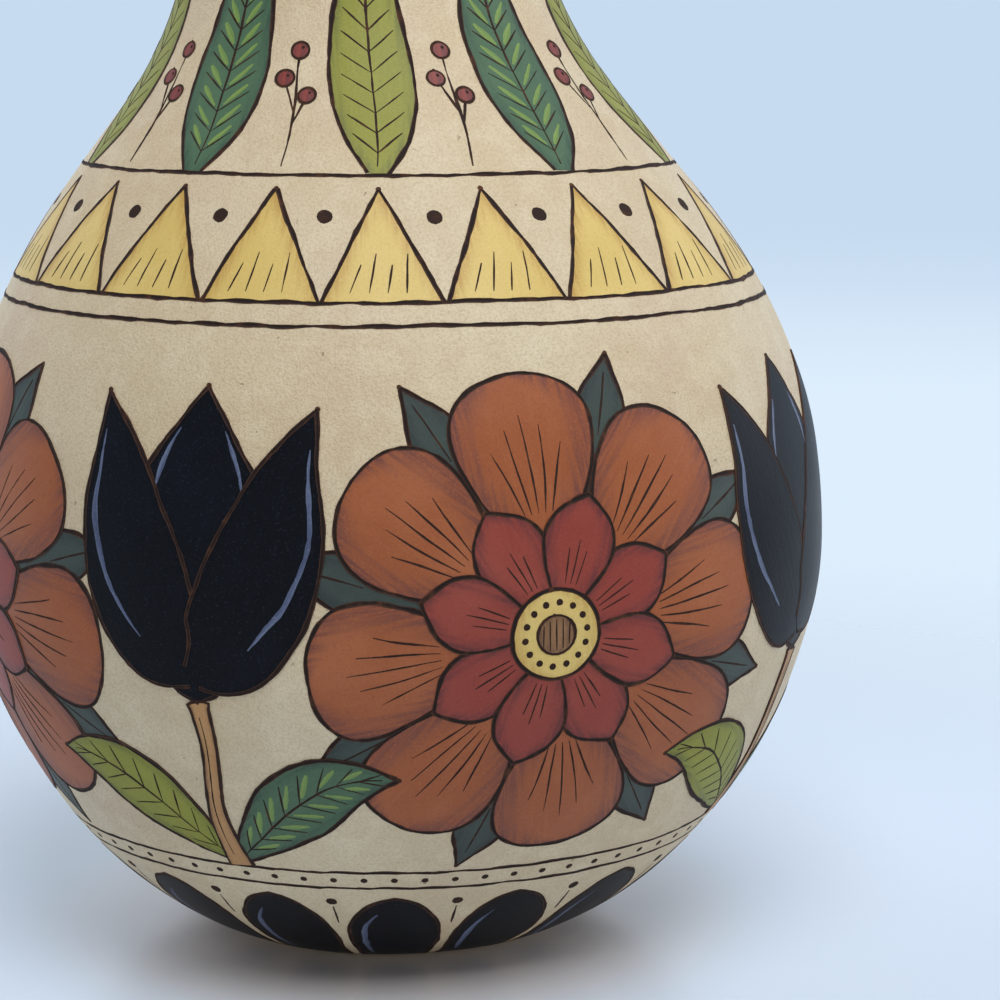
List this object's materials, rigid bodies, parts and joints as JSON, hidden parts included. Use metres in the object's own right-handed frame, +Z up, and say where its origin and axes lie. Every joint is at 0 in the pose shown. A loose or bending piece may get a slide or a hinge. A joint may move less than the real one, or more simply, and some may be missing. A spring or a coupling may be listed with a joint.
{
  "type": "painted bottle gourd",
  "caption": "Hollow dried bottle gourd with a round belly, leaning neck and woody stem, burned and painted outside, with loose seeds that rattle inside.",
  "frame": {"origin": "middle of the flat foot that the gourd stands on", "axes": "+Z up along the gourd; the neck leans towards -X; -Y is the side that the picture shows"},
  "size_m": [0.2323, 0.2277, 0.4004],
  "materials": {
    "rind": "satin, bare and painted",
    "stem": "rough, dry",
    "pith": "matte, spongy",
    "pulp": "matte, fibrous",
    "seed": "dull, corky"
  },
  "bodies": {
    "gourd": {"gourd_rind": "rind", "stem": "stem", "pith_lining": "pith", "pulp_lobe_1": "pulp", "pulp_lobe_2": "pulp", "pulp_lobe_3": "pulp"},
    "loose_seeds": {"seed_01": "seed", "seed_02": "seed", "seed_03": "seed", "seed_04": "seed", "seed_05": "seed", "seed_06": "seed", "seed_07": "seed", "seed_08": "seed", "seed_09": "seed", "seed_10": "seed", "seed_11": "seed", "seed_12": "seed", "seed_13": "seed", "seed_14": "seed", "seed_15": "seed", "seed_16": "seed", "seed_17": "seed", "seed_18": "seed", "seed_19": "seed", "seed_20": "seed", "seed_21": "seed", "seed_22": "seed", "seed_23": "seed", "seed_24": "seed"}
  },
  "joints": [
    {"name": "seed_rattle", "type": "slide", "parent": "gourd", "child": "loose_seeds", "axis": [0, 0, 1], "range_m": [0, 0.15]}
  ]
}
